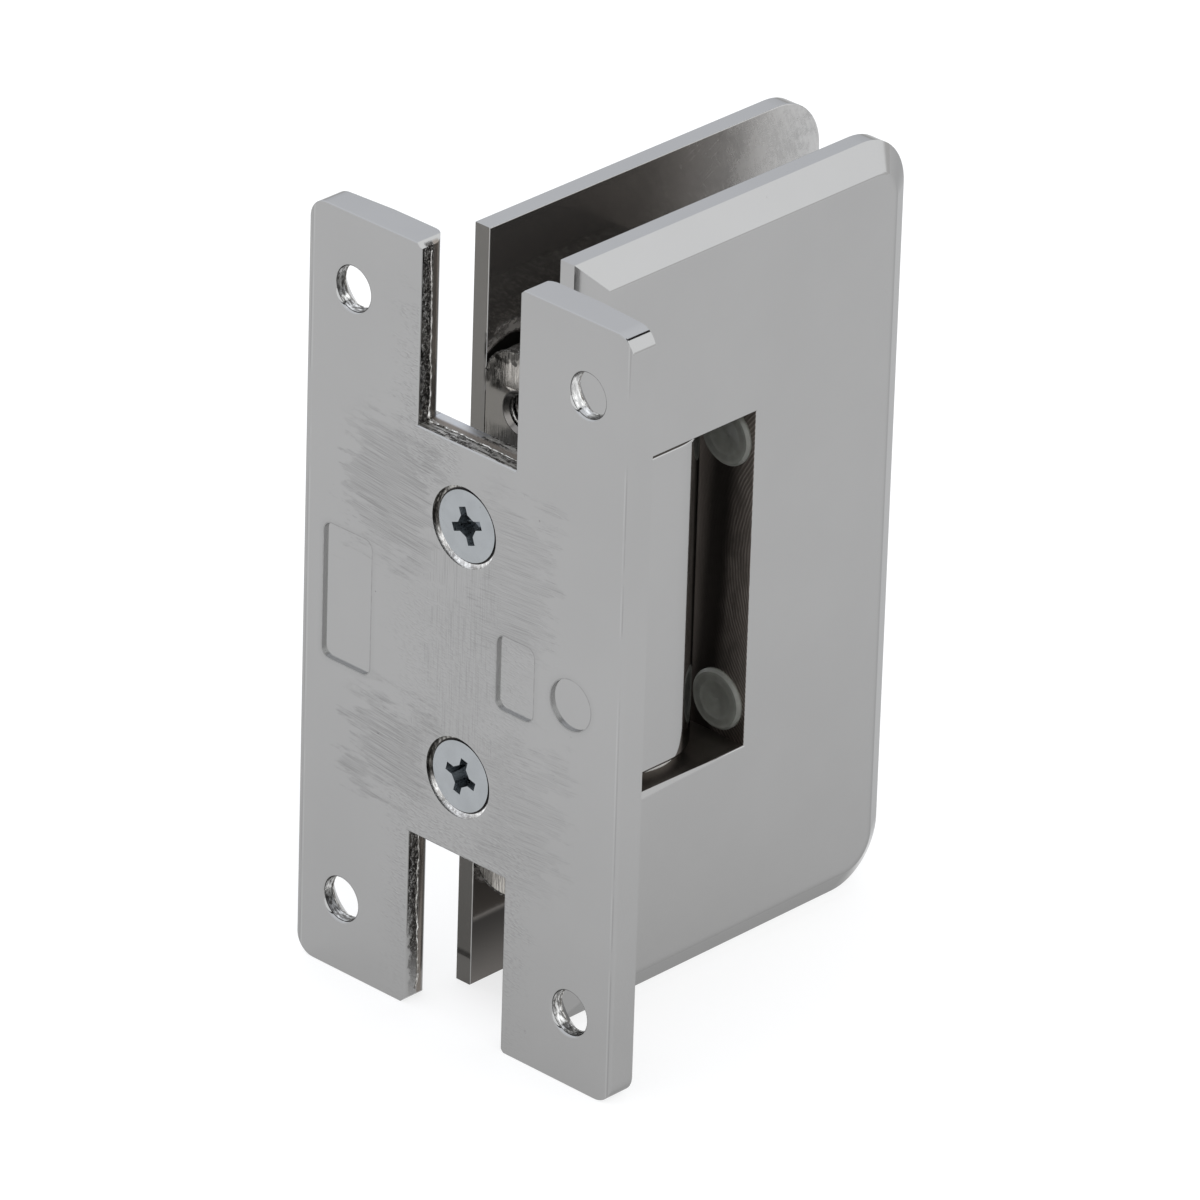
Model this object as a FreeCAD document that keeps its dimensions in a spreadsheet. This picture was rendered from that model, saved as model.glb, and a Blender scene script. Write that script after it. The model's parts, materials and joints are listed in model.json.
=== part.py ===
"""Wall-mount glass door hinge with an H-shaped back plate, in millimetres.

Frame: the origin is the centre of the wall plate's back face. X runs across the wall plate, Y points
away from the wall into the door, Z points up and the pivot pin is parallel to it.
The door side is drawn closed, so the glass slot lies in the YZ plane.
"""
import FreeCAD, Part
import math
import os
import re

import Sketcher
from FreeCAD import Rotation, Vector

SIZES = [
    ("hinge_height", 90.0, "wall plate and clamp halves, bottom to top"),
    ("plate_width", 46.8, "wall plate across both legs"),
    ("plate_thick", 3.9, "wall plate, back face to room face"),
    ("plate_edge", 3.3, "wall plate at its outer long edges"),
    ("side_slope", 8.5, "width of the slope from the room face to those edges"),
    ("leg_round", 1.8, "rounded room-side edge of the legs along the gaps"),
    ("back_break", 0.15, "rounded outer edge of the back face"),
    ("gap_break", 0.3, "rounded back edge of the gaps between the legs"),
    ("plate_corner", 2.4, "outer corner radius of the wall plate"),
    ("leg_gap", 14.3, "opening between the legs of the H"),
    ("leg_corner", 0.6, "cut corner at the ends of the legs, beside the gaps"),
    ("crossbar_height", 48.2, "solid middle of the H"),
    ("fixing_across", 34.0, "fixing holes, side to side"),
    ("fixing_up", 72.6, "fixing holes, top to bottom"),
    ("fixing_hole", 5.1, "fixing hole diameter"),
    ("fixing_sink", 9.8, "countersink diameter of the fixing holes on the room face"),
    ("fixing_break", 0.35, "rounded back edge of the fixing holes"),
    ("mark_depth", 0.35, "depth of the bare cast panels on the back"),
    ("tall_mark_across", 7.1, "tall panel, width"),
    ("tall_mark_up", 16.0, "tall panel, height"),
    ("tall_mark_place", -16.9, "tall panel, centre across"),
    ("short_mark_across", 5.4, "short panel, width"),
    ("short_mark_up", 8.7, "short panel, height"),
    ("short_mark_place", 7.9, "short panel, centre across"),
    ("mark_corner", 1.1, "corner radius of both panels"),
    ("round_mark", 5.8, "round panel, diameter"),
    ("round_mark_place", 15.95, "round panel, centre across"),
    ("clamp_setback", 8.0, "wall plate's back to the near edge of the clamp"),
    ("clamp_depth", 50.5, "clamp halves, near edge to far edge"),
    ("clamp_thick", 4.2, "thickness of each clamp half beside the glass"),
    ("clamp_edge", 2.1, "flat part of a clamp half's edge, inside its bevel"),
    ("clamp_bevel", 3.3, "width of the bevel round the clamp halves"),
    ("clamp_corner", 6.8, "radius of the clamp's two far corners"),
    ("clamp_break", 0.15, "rounded inner edge of the clamp halves"),
    ("bevel_soft", 1.5, "radius that blends the bevel into the outer face"),
    ("glass_gap", 10.1, "space between the clamp halves"),
    ("notch_height", 39.9, "notch for the pivot block, bottom to top"),
    ("notch_depth", 26.4, "near edge of the clamp to the notch's far wall"),
    ("notch_break", 0.25, "rounded edge of the notch on the outer faces"),
    ("roll_width", 1.15, "rolled lower edge of the notch, its height at the near edge"),
    ("roll_depth", 0.45, "how deep that rolled edge falls away"),
    ("roll_end", 0.08, "share of the roll that is left at the far wall"),
    ("boss_height", 64.0, "C-shaped boss that fills the glass cut-out, bottom to top"),
    ("boss_web", 8.0, "boss behind the notch's far wall"),
    ("boss_corner", 6.0, "corner radius of the boss beside the glass"),
    ("boss_round", 4.2, "round on the boss's edge against the cover half"),
    ("pin_place", 16.3, "near edge of the clamp to the pivot pin's axis"),
    ("pin_width", 8.0, "pivot pin diameter"),
    ("pin_inset", 1.5, "pin ends below the ends of the boss"),
    ("pin_flat", 3.2, "pin axis to each of the four centring flats"),
    ("pin_break", 0.6, "chamfer on the pin's ends"),
    ("run_gap", 0.04, "radial running clearance of the pin in the block"),
    ("fixed_gap", 0.02, "radial clearance of the pin in the boss"),
    ("block_side_gap", 1.45, "block's side below the clamp's outer face"),
    ("washer_thick", 1.0, "thrust washer thickness"),
    ("washer_gap", 0.1, "axial play above and below the block"),
    ("washer_width", 13.0, "thrust washer, outer diameter"),
    ("block_break", 0.4, "rounded edge of the block's ends"),
    ("pad_across", 9.0, "pressure pad, width"),
    ("pad_up", 21.0, "pressure pad, height"),
    ("pad_thick", 7.0, "pressure pad, along the push"),
    ("pad_corner", 1.0, "corner radius of the pressure pad"),
    ("pad_gap", 0.1, "pad to the pin's full radius, and pad to its pocket"),
    ("spring_width", 7.0, "centring spring, outer diameter"),
    ("spring_wire", 1.1, "centring spring, wire across its corners"),
    ("spring_turns", 4.0, "centring spring, turns"),
    ("spring_seat", 2.4, "depth of the spring seats in the pad"),
    ("seat_spare", 0.3, "spring seat beyond the spring, all round"),
    ("spring_apart", 10.6, "centring springs, centre to centre"),
    ("block_screw_apart", 29.6, "block screws, centre to centre"),
    ("block_screw_long", 16.0, "block screw, overall length"),
    ("block_head_sunk", 0.4, "block screw head below the back face"),
    ("block_head", 8.1, "block screw head diameter"),
    ("seat_ring", 0.6, "open ring round a block screw's head"),
    ("upper_cross_turn", 20.5, "how far the upper screw's cross is turned, in degrees"),
    ("lower_cross_turn", -14.0, "how far the lower screw's cross is turned, in degrees"),
    ("thread_width", 4.0, "thread diameter of the block screws and set screws"),
    ("clamp_thread", 5.0, "thread diameter of the clamp screws"),
    ("screw_tip", 0.5, "chamfer at the tip of a screw"),
    ("thread_gap", 0.05, "radial gap between a plain-drawn thread and its hole"),
    ("free_gap", 0.25, "radial clearance of a screw through a plain hole"),
    ("hole_spare", 1.5, "tapped hole beyond the end of its screw"),
    ("head_land", 0.2, "straight rim of a countersunk head"),
    ("cross_across", 4.3, "cross recess, tip to tip"),
    ("cross_slot", 1.0, "cross recess, slot width"),
    ("cross_core", 1.7, "cross recess, centre to the corners of its widened middle"),
    ("cross_deep", 2.0, "cross recess, depth"),
    ("cross_taper", 12.0, "cross recess, wall angle in degrees"),
    ("set_screw_up", 5.35, "pin set screw's axis beyond the notch's end wall"),
    ("set_screw_long", 8.0, "pin set screw length"),
    ("set_flat", 0.4, "depth of the seats that the set screws press on"),
    ("seat_land", 0.5, "set screw's seat on the pin beyond the screw"),
    ("set_sink", 0.45, "chamfer at the mouth of a set screw hole"),
    ("hex_across", 2.0, "set screw socket, across flats"),
    ("hex_deep", 2.6, "set screw socket, depth"),
    ("clamp_head", 9.4, "clamp screw head diameter"),
    ("clamp_head_sunk", 0.3, "clamp screw head below the cover half's face"),
    ("clamp_screw_long", 13.6, "clamp screw, overall length"),
    ("clamp_hex", 3.0, "clamp screw socket, across flats"),
    ("clamp_hex_deep", 1.9, "clamp screw socket, depth"),
    ("arm_screw_up", 26.0, "outer clamp screws, centre to hinge centre"),
    ("web_screw_up", 8.4, "inner clamp screws, centre to hinge centre"),
    ("bumper_width", 7.0, "bumper button diameter"),
    ("bumper_place", 5.2, "bumper button, centre to mid-plane"),
    ("bumper_up", 15.8, "bumper button, centre to hinge centre"),
    ("bumper_seat", 3.0, "depth of the bumper's seat"),
    ("bumper_proud", 0.5, "bumper standing out of the far wall"),
    ("bumper_break", 0.3, "chamfer round the bumper's face"),
    ("bumper_dish", 4.4, "diameter of the hollow in the bumper's face"),
    ("bumper_dip", 0.5, "depth of that hollow"),
    ("bumper_gap", 0.05, "radial gap between a bumper and its seat"),
    ("overcut", 1.0, "how far a cutting outline runs past the material"),
]

DERIVED = [
    ("half_height", "hinge_height / 2", "hinge centre to its top"),
    ("half_gap", "glass_gap / 2", "mid-plane to a clamp half's inner face"),
    ("clamp_face", "half_gap + clamp_thick", "mid-plane to a clamp half's outer face"),
    ("clamp_far", "clamp_setback + clamp_depth", "far edge of the clamp"),
    ("notch_half", "notch_height / 2", "hinge centre to the notch's end wall"),
    ("notch_far", "clamp_setback + notch_depth", "far wall of the notch"),
    ("boss_half", "boss_height / 2", "hinge centre to the end of the boss"),
    ("boss_far", "notch_far + boss_web", "boss's face toward the glass"),
    ("pin_axis", "clamp_setback + pin_place", "pivot axis from the wall plate's back"),
    ("pin_half", "boss_half - pin_inset", "hinge centre to the pin's end"),
    ("block_half_width", "clamp_face - block_side_gap", "half thickness and nose radius of the block"),
    ("block_half", "notch_half - washer_thick - washer_gap", "hinge centre to the block's end"),
    ("pad_face", "pin_axis - pin_width / 2 - pad_gap", "pad's face toward the pin"),
    ("pad_back", "pad_face - pad_thick", "pad's back, which the springs press"),
    ("spring_long", "pad_back + spring_seat - plate_thick", "fitted length of a centring spring"),
    ("spring_up", "spring_apart / 2", "hinge centre to a spring's axis"),
    ("block_screw_up", "block_screw_apart / 2", "hinge centre to a block screw's axis"),
    ("block_screw_end", "block_head_sunk + block_screw_long", "tip of the block screws"),
    ("set_screw_line", "notch_half + set_screw_up", "hinge centre to a set screw's axis"),
    ("set_screw_tip", "pin_axis - pin_width / 2 + set_flat", "where a set screw bears on the pin"),
    ("clamp_screw_top", "clamp_face - clamp_head_sunk", "mid-plane to a clamp screw's head"),
    ("clamp_screw_line", "notch_far + boss_web / 2", "clamp screws from the wall plate's back"),
    ("clamp_screw_tip", "clamp_screw_long - clamp_screw_top", "clamp screw's tip past the mid-plane"),
]

doc = FreeCAD.newDocument("GlassDoorHinge")
sheet = doc.addObject("Spreadsheet::Sheet", "Sizes")
for row, (alias, content, note) in enumerate(SIZES + DERIVED, start=1):
    text = "=" + content if isinstance(content, str) else str(content)
    sheet.set(f"A{row}", note)
    sheet.set(f"B{row}", text)
    sheet.setAlias(f"B{row}", alias)
doc.recompute()

ALIASES = {alias for alias, _, _ in SIZES + DERIVED}
TOLERANCE = 1e-4
WIRE_SIDES = 6


def bound(formula):
    """The formula with each size looked up in the sheet."""
    return re.sub(r"[a-z_]+", lambda word: "Sizes." + word[0] if word[0] in ALIASES else word[0], formula)


def value(formula):
    """The formula's present value."""
    return float(sheet.evalExpression(formula))


def new_body(name):
    body = doc.addObject("PartDesign::Body", name)
    body.Label = name
    return body


def origin_feature(body, role):
    return next(item for item in body.Origin.OriginFeatures if item.Role == role)


def sketch_on(body, name, plane, lift="0"):
    """A sketch on one of the body's own origin planes, lifted along that plane's normal."""
    sketch = body.newObject("Sketcher::SketchObject", name)
    sketch.AttachmentSupport = [(origin_feature(body, plane), "")]
    sketch.MapMode = "FlatFace"
    sketch.setExpression("AttachmentOffset.Base.z", bound(lift))
    return sketch


def hold(sketch, edge, point, across, up):
    """Ties a sketch point to the sheet; a coordinate of None keeps it on that axis."""
    for kind, axis, formula in (("DistanceX", -2, across), ("DistanceY", -1, up)):
        if formula is None:
            sketch.addConstraint(Sketcher.Constraint("PointOnObject", edge, point, axis))
        else:
            rule = sketch.addConstraint(Sketcher.Constraint(kind, -1, 1, edge, point, value(formula)))
            sketch.setExpression(f"Constraints[{rule}]", bound(formula))


def rectangle(sketch, left, right, low, high):
    x0, x1, y0, y1 = (value(side) for side in (left, right, low, high))
    corners = [Vector(x0, y0), Vector(x1, y0), Vector(x1, y1), Vector(x0, y1)]
    first = sketch.GeometryCount
    for index in range(4):
        sketch.addGeometry(Part.LineSegment(corners[index], corners[(index + 1) % 4]), False)
    for index in range(4):
        after = first + (index + 1) % 4
        sketch.addConstraint(Sketcher.Constraint("Coincident", first + index, 2, after, 1))
        kind = "Vertical" if index % 2 else "Horizontal"
        sketch.addConstraint(Sketcher.Constraint(kind, first + index))
    hold(sketch, first, 1, left, low)
    hold(sketch, first + 1, 2, right, high)


def circle(sketch, across, up, radius):
    centre = Vector(value(across or "0"), value(up or "0"))
    edge = sketch.addGeometry(Part.Circle(centre, Vector(0, 0, 1), value(radius)), False)
    hold(sketch, edge, 3, across, up)
    rule = sketch.addConstraint(Sketcher.Constraint("Radius", edge, value(radius)))
    sketch.setExpression(f"Constraints[{rule}]", bound(radius))


def outline(sketch, points):
    """A closed run of straight lines through points given as formula pairs."""
    places = [Vector(value(x or "0"), value(y or "0")) for x, y in points]
    first, count = sketch.GeometryCount, len(points)
    for index in range(count):
        sketch.addGeometry(Part.LineSegment(places[index], places[(index + 1) % count]), False)
    for index in range(count):
        after = first + (index + 1) % count
        sketch.addConstraint(Sketcher.Constraint("Coincident", first + index, 2, after, 1))
        hold(sketch, first + index, 1, *points[index])


def hexagon(sketch, across_flats):
    """A regular hexagon on the sketch's origin, with two corners on the horizontal axis."""
    corner = f"({across_flats}) / sqrt(3)"
    half = f"({across_flats}) / 2"
    outline(sketch, [
        (corner, None), (f"{corner} / 2", half), (f"-{corner} / 2", half),
        (f"-{corner}", None), (f"-{corner} / 2", f"-{half}"), (f"{corner} / 2", f"-{half}"),
    ])


def finish(body, feature):
    """Recomputes and makes sure that the feature stands."""
    body.Tip = feature
    doc.recompute()
    if "Invalid" in feature.State or "Error" in feature.State or feature.Shape.isNull():
        raise RuntimeError(f"{body.Label}: {feature.Name} failed")
    return feature


def pad(body, sketch, name, length, reverse=False, both=False):
    feature = body.newObject("PartDesign::Pad", name)
    feature.Profile = sketch
    feature.setExpression("Length", bound(length))
    feature.Reversed = reverse
    if both:
        feature.SideType = "Symmetric"
    return finish(body, feature)


def pocket(body, sketch, name, length=None, reverse=False, both=False, taper=None):
    """Cuts the sketch into the body; no length cuts right through."""
    before = body.Shape.Volume
    feature = body.newObject("PartDesign::Pocket", name)
    feature.Profile = sketch
    if length is None:
        feature.Type = "ThroughAll"
    else:
        feature.setExpression("Length", bound(length))
    feature.Reversed = reverse
    if both:
        feature.SideType = "Symmetric"
    if taper:
        feature.setExpression("TaperAngle", bound(taper))
    finish(body, feature)
    if feature.Shape.Volume > before - TOLERANCE:
        raise RuntimeError(f"{body.Label}: {name} cuts nothing")
    return feature


def countersunk(body, sketch, name, width, sink, reverse=False):
    """Through holes with a 90 degree countersink that starts on the sketch's plane."""
    doc.recompute()
    before = body.Shape.Volume
    feature = body.newObject("PartDesign::Hole", name)
    feature.Profile = sketch
    feature.DepthType = "ThroughAll"
    feature.Reversed = reverse
    feature.HoleCutType = "Countersink"
    feature.HoleCutCustomValues = True
    feature.HoleCutCountersinkAngle = 90
    feature.setExpression("Diameter", bound(width))
    feature.setExpression("HoleCutDiameter", bound(sink))
    finish(body, feature)
    if feature.Shape.Volume > before - TOLERANCE:
        raise RuntimeError(f"{body.Label}: {name} cuts nothing")
    return feature


def revolve(body, sketch, name, axis="V_Axis"):
    feature = body.newObject("PartDesign::Revolution", name)
    feature.Profile = sketch
    feature.ReferenceAxis = (sketch, [axis])
    feature.Angle = 360
    return finish(body, feature)


def edges(feature, test):
    """Names of the feature's edges that pass the test."""
    return [f"Edge{n}" for n, edge in enumerate(feature.Shape.Edges, start=1) if test(edge)]


def fillet(body, feature, name, test, radius):
    names = edges(feature, test)
    if not names:
        raise RuntimeError(f"{body.Label}: {name} finds no edge")
    rounded = body.newObject("PartDesign::Fillet", name)
    rounded.Base = (feature, names)
    rounded.setExpression("Radius", bound(radius))
    return finish(body, rounded)


def chamfer(body, feature, name, test, size, second=None):
    names = edges(feature, test)
    if not names:
        raise RuntimeError(f"{body.Label}: {name} finds no edge")
    cut = body.newObject("PartDesign::Chamfer", name)
    cut.Base = (feature, names)
    cut.setExpression("Size", bound(size))
    if second:
        cut.ChamferType = "Two distances"
        cut.setExpression("Size2", bound(second))
    return finish(body, cut)


def place(body, x="0", y="0", z="0", turn=None):
    """Puts a body at its seat; turn is a rotation about the body's own origin."""
    if turn:
        body.Placement = FreeCAD.Placement(Vector(), turn)
    for axis, formula in zip("xyz", (x, y, z)):
        body.setExpression(f"Placement.Base.{axis}", bound(formula))
    doc.recompute()


def near(a, b):
    return abs(a - b) < TOLERANCE


def box_of(edge):
    return edge.BoundBox


def along(edge, axis):
    """True for an edge that runs parallel to the named axis."""
    sides = {"x": box_of(edge).XLength, "y": box_of(edge).YLength, "z": box_of(edge).ZLength}
    own = sides.pop(axis)
    return own > TOLERANCE and all(near(side, 0) for side in sides.values())


def flat_at(edge, axis, position):
    """True for an edge that lies wholly in the plane where the axis has this position."""
    low, high = {"x": ("XMin", "XMax"), "y": ("YMin", "YMax"), "z": ("ZMin", "ZMax")}[axis]
    return near(getattr(box_of(edge), low), position) and near(getattr(box_of(edge), high), position)


def make_wall_plate():
    """H-shaped back plate with bevelled room face, fixing holes and bare cast panels."""
    body = new_body("wall_plate")
    face = sketch_on(body, "PlateOutline", "XZ_Plane")
    rectangle(face, "-plate_width / 2", "plate_width / 2", "-half_height", "half_height")
    slab = pad(body, face, "PlateSlab", "plate_thick", reverse=True)

    room_face, half_height = value("plate_thick"), value("half_height")
    slab = chamfer(body, slab, "RoomSlope", lambda e: along(e, "z") and flat_at(e, "y", room_face),
                   "plate_thick - plate_edge", "side_slope")
    slab = fillet(body, slab, "OuterCorners", lambda e: along(e, "y"), "plate_corner")
    slab = fillet(body, slab, "BackBreak", lambda e: flat_at(e, "y", 0), "back_break")

    gaps = sketch_on(body, "LegGaps", "XZ_Plane")
    reach = "half_height + overcut"
    rectangle(gaps, "-leg_gap / 2", "leg_gap / 2", "crossbar_height / 2", reach)
    rectangle(gaps, "-leg_gap / 2", "leg_gap / 2", f"-({reach})", "-crossbar_height / 2")
    slab = pocket(body, gaps, "LegGapCut", both=True)
    gap_side = value("leg_gap / 2")
    slab = fillet(body, slab, "LegRounds",
                  lambda e: along(e, "z") and flat_at(e, "y", room_face)
                  and near(abs(box_of(e).XMin), gap_side), "leg_round")
    corners = sketch_on(body, "LegCorners", "XZ_Plane")
    for side in ("-", ""):
        for level in ("-", ""):
            outline(corners, [
                (f"{side}(leg_gap / 2 - overcut)", f"{level}(half_height - leg_corner - overcut)"),
                (f"{side}(leg_gap / 2 + leg_corner + overcut)", f"{level}(half_height + overcut)"),
                (f"{side}(leg_gap / 2 - overcut)", f"{level}(half_height + overcut)"),
            ])
    slab = pocket(body, corners, "LegCornerCut", both=True)
    gap_end = value("crossbar_height / 2")
    fillet(body, slab, "GapBreak",
           lambda e: flat_at(e, "y", 0) and (flat_at(e, "x", -gap_side) or flat_at(e, "x", gap_side)
                                             or flat_at(e, "z", -gap_end) or flat_at(e, "z", gap_end)),
           "gap_break")

    marks = sketch_on(body, "Marks", "XZ_Plane")
    for across, wide, tall in (("tall_mark_place", "tall_mark_across", "tall_mark_up"),
                               ("short_mark_place", "short_mark_across", "short_mark_up")):
        rectangle(marks, f"{across} - {wide} / 2", f"{across} + {wide} / 2", f"-{tall} / 2", f"{tall} / 2")
    circle(marks, "round_mark_place", None, "round_mark / 2")
    recess = pocket(body, marks, "MarkRecess", "mark_depth")
    fillet(body, recess, "MarkCorners",
           lambda e: along(e, "y") and near(box_of(e).YLength, value("mark_depth")), "mark_corner")

    fixings = sketch_on(body, "Fixings", "XZ_Plane", "-plate_thick")
    for side in ("-", ""):
        for level in ("-", ""):
            circle(fixings, f"{side}fixing_across / 2", f"{level}fixing_up / 2", "fixing_hole / 2")
    plate = countersunk(body, fixings, "FixingHoles", "fixing_hole", "fixing_sink", reverse=True)
    rim = math.pi * value("fixing_hole")
    fillet(body, plate, "FixingBreak", lambda e: flat_at(e, "y", 0) and near(e.Length, rim), "fixing_break")

    rings = sketch_on(body, "SeatRings", "XZ_Plane")
    for level in ("-", ""):
        circle(rings, None, f"{level}block_screw_up", "block_head / 2 + seat_ring")
    pocket(body, rings, "SeatRingCut", "block_head_sunk + head_land")
    heads = sketch_on(body, "BlockScrewHoles", "XZ_Plane", "-(block_head_sunk + head_land)")
    for level in ("-", ""):
        circle(heads, None, f"{level}block_screw_up", "thread_width / 2 + free_gap")
    countersunk(body, heads, "BlockScrewSeats", "thread_width + 2 * free_gap", "block_head")
    return body


def make_pivot_block():
    """Block with a half-round nose about the pin, screwed to the crossbar's room face."""
    body = new_body("pivot_block")
    plan = sketch_on(body, "BlockPlan", "XY_Plane")
    rectangle(plan, "-block_half_width", "block_half_width", "plate_thick", "pin_axis")
    pad(body, plan, "BlockBody", "2 * block_half", both=True)
    nose = sketch_on(body, "NosePlan", "XY_Plane")
    circle(nose, None, "pin_axis", "block_half_width")
    solid = pad(body, nose, "BlockNose", "2 * block_half", both=True)
    ends = value("block_half")
    solid = fillet(body, solid, "BlockBreak",
                   lambda e: near(abs(box_of(e).ZMin), ends) and flat_at(e, "z", box_of(e).ZMin)
                   and not flat_at(e, "y", value("plate_thick")), "block_break")

    bore = sketch_on(body, "PinBore", "XY_Plane")
    circle(bore, None, "pin_axis", "pin_width / 2 + run_gap")
    pocket(body, bore, "PinBoreCut", both=True)

    well = sketch_on(body, "PadWell", "XZ_Plane", "-plate_thick")
    rectangle(well, "-pad_across / 2 - pad_gap", "pad_across / 2 + pad_gap",
              "-pad_up / 2 - pad_gap", "pad_up / 2 + pad_gap")
    pocket(body, well, "PadWellCut", "pin_axis - plate_thick - pin_flat / 2")

    taps = sketch_on(body, "BlockTaps", "XZ_Plane", "-plate_thick")
    for level in ("-", ""):
        circle(taps, None, f"{level}block_screw_up", "thread_width / 2 + thread_gap")
    pocket(body, taps, "BlockTapCut", "block_screw_end + hole_spare - plate_thick")
    return body


def clamp_slab(body, side):
    """The plate that both clamp halves share; side is +1 toward +X and -1 toward -X."""
    sign = "" if side > 0 else "-"
    face = sketch_on(body, "SlabOutline", "YZ_Plane", f"{sign}half_gap")
    rectangle(face, "clamp_setback", "clamp_far", "-half_height", "half_height")
    slab = pad(body, face, "Slab", "clamp_thick", reverse=side < 0)
    far, outer = value("clamp_far"), side * value("clamp_face")
    slab = fillet(body, slab, "FarCorners", lambda e: along(e, "x") and near(box_of(e).YMin, far),
                  "clamp_corner")
    slab = chamfer(body, slab, "Bevel", lambda e: flat_at(e, "x", outer),
                   "clamp_thick - clamp_edge", "clamp_bevel")
    slab = fillet(body, slab, "BevelBlend", lambda e: flat_at(e, "x", outer), "bevel_soft")
    return fillet(body, slab, "InnerBreak", lambda e: flat_at(e, "x", side * value("half_gap")),
                  "clamp_break")


def cut_notch(body, side):
    """The notch that the pivot block swings in, with its outer edge eased."""
    notch = sketch_on(body, "Notch", "YZ_Plane")
    rectangle(notch, "clamp_setback - overcut", "notch_far", "-notch_half", "notch_half")
    solid = pocket(body, notch, "NotchCut", both=True)
    outer, half = side * value("clamp_face"), value("notch_half") + TOLERANCE
    return fillet(body, solid, "NotchBreak",
                  lambda e: flat_at(e, "x", outer) and abs(box_of(e).ZMin) < half
                  and abs(box_of(e).ZMax) < half, "notch_break")


def roll_notch_edge(body):
    """The lower outer edge of the notch falls away in a wedge that runs out at the far wall."""
    sections = []
    for name, place_y, share in (("RollStart", "clamp_setback", "1"), ("RollEnd", "notch_far", "roll_end")):
        section = sketch_on(body, name, "XZ_Plane", f"-({place_y})")
        outline(section, [
            ("clamp_face", f"-(notch_half + roll_width * {share})"),
            (f"clamp_face + roll_depth * {share}", "-notch_half"),
            (f"clamp_face - roll_depth * {share}", "-notch_half"),
        ])
        sections.append(section)
    roll = body.newObject("PartDesign::SubtractiveLoft", "NotchRoll")
    roll.Profile = sections[0]
    roll.Sections = sections[1:]
    roll.Ruled = True
    return finish(body, roll)


def cut_bumper_seats(body, sides):
    seats = sketch_on(body, "BumperSeats", "XZ_Plane", "-notch_far")
    for side in sides:
        for level in ("-", ""):
            circle(seats, f"{side}bumper_place", f"{level}bumper_up", "bumper_width / 2 + bumper_gap")
    return pocket(body, seats, "BumperSeatCut", "bumper_seat")


def make_front_clamp():
    """Clamp half cast in one with the C-shaped boss that carries the pin."""
    body = new_body("front_clamp")
    clamp_slab(body, +1)
    boss = sketch_on(body, "BossOutline", "YZ_Plane", "half_gap")
    rectangle(boss, "clamp_setback", "boss_far", "-boss_half", "boss_half")
    solid = pad(body, boss, "Boss", "glass_gap", reverse=True)
    far, back = value("boss_far"), -value("half_gap")
    near_edge = value("clamp_setback")
    solid = fillet(body, solid, "BossCorners",
                   lambda e: along(e, "x") and near(box_of(e).YMin, far), "boss_corner")
    solid = fillet(body, solid, "BossRound",
                   lambda e: flat_at(e, "x", back) and not flat_at(e, "y", near_edge), "boss_round")
    cut_notch(body, +1)
    roll_notch_edge(body)

    bore = sketch_on(body, "PinBore", "XY_Plane")
    circle(bore, None, "pin_axis", "pin_width / 2 + fixed_gap")
    pocket(body, bore, "PinBoreCut", both=True)

    sets = sketch_on(body, "SetScrewHoles", "XZ_Plane", "-clamp_setback")
    for level in ("-", ""):
        circle(sets, None, f"{level}set_screw_line", "thread_width / 2 + thread_gap")
    solid = pocket(body, sets, "SetScrewCut", "pin_place")
    mouth = 2 * math.pi * value("thread_width / 2 + thread_gap")
    chamfer(body, solid, "SetScrewMouth",
            lambda e: flat_at(e, "y", near_edge) and near(e.Length, mouth), "set_sink")

    taps = sketch_on(body, "ClampTaps", "YZ_Plane", "-half_gap")
    for rise in ("arm_screw_up", "web_screw_up"):
        for level in ("-", ""):
            circle(taps, "clamp_screw_line", f"{level}{rise}", "clamp_thread / 2 + thread_gap")
    pocket(body, taps, "ClampTapCut", "half_gap + clamp_screw_tip + hole_spare", reverse=True)
    cut_bumper_seats(body, ("-", ""))
    return body


def make_rear_clamp():
    """Flat cover half, drawn against the boss by four countersunk screws."""
    body = new_body("rear_clamp")
    clamp_slab(body, -1)
    cut_notch(body, -1)
    holes = sketch_on(body, "ClampHoles", "YZ_Plane", "-clamp_face")
    for rise in ("arm_screw_up", "web_screw_up"):
        for level in ("-", ""):
            circle(holes, "clamp_screw_line", f"{level}{rise}", "clamp_thread / 2 + free_gap")
    countersunk(body, holes, "ClampScrewSeats", "clamp_thread + 2 * free_gap",
                "clamp_head + 2 * (clamp_head_sunk + head_land)", reverse=True)
    cut_bumper_seats(body, ("-",))
    return body


def make_pivot_pin():
    """Turned pin, four centring flats at its middle and a seat for each set screw."""
    body = new_body("pivot_pin")
    section = sketch_on(body, "PinSection", "XY_Plane")
    circle(section, None, "pin_axis", "pin_width / 2")
    solid = pad(body, section, "PinRod", "2 * pin_half", both=True)
    chamfer(body, solid, "PinEnds", lambda e: near(e.Length, math.pi * value("pin_width")), "pin_break")

    flats = sketch_on(body, "PinFlats", "XY_Plane")
    reach = "pin_width / 2 + overcut"
    rectangle(flats, "-pin_flat", "pin_flat", "pin_axis - pin_flat", "pin_axis + pin_flat")
    rectangle(flats, f"-({reach})", reach, f"pin_axis - ({reach})", f"pin_axis + {reach}")
    pocket(body, flats, "PinFlatCut", "pad_up + 2 * pad_gap", both=True)

    seats = sketch_on(body, "SetSeats", "XZ_Plane", "-set_screw_tip")
    for level in ("-", ""):
        middle = f"{level}set_screw_line"
        rectangle(seats, "-pin_width", "pin_width", f"{middle} - thread_width / 2 - seat_land",
                  f"{middle} + thread_width / 2 + seat_land")
    pocket(body, seats, "SetSeatCut", "pin_width", reverse=True)
    return body


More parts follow.
